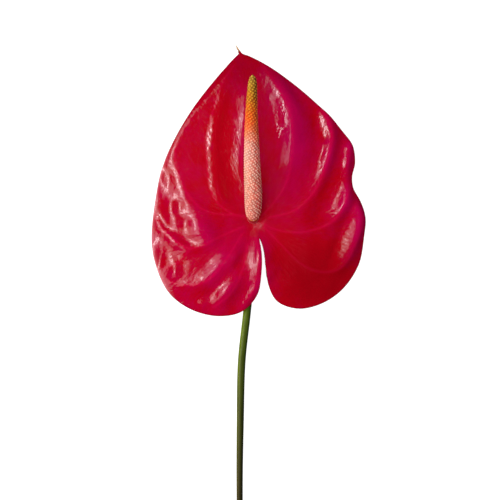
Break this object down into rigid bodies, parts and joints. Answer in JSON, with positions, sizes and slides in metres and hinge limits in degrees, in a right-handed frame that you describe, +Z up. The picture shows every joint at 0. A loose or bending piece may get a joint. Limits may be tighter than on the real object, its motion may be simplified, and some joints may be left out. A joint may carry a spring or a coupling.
{
  "type": "cut anthurium stem",
  "caption": "Cut anthurium lying face up: a heart-shaped folded spathe with a notched base and a drip tip, a leaning spadix covered in florets, and a long bare peduncle.",
  "frame": {"origin": "middle of the flower's box in plan, on the surface it lies on", "axes": "+Y from the cut end of the peduncle to the spathe's tip, +Z up out of the spathe's face, +X to the right seen from above"},
  "size_m": [0.1204, 0.4032, 0.0419],
  "materials": {
    "peduncle": "smooth green flower stalk, satin",
    "spathe": "waxy crimson bract, glossy",
    "spadix": "fleshy florets, salmon to ochre, matte"
  },
  "bodies": {
    "root": {"peduncle": "peduncle", "spathe": "spathe", "spadix": "spadix"}
  },
  "joints": []
}
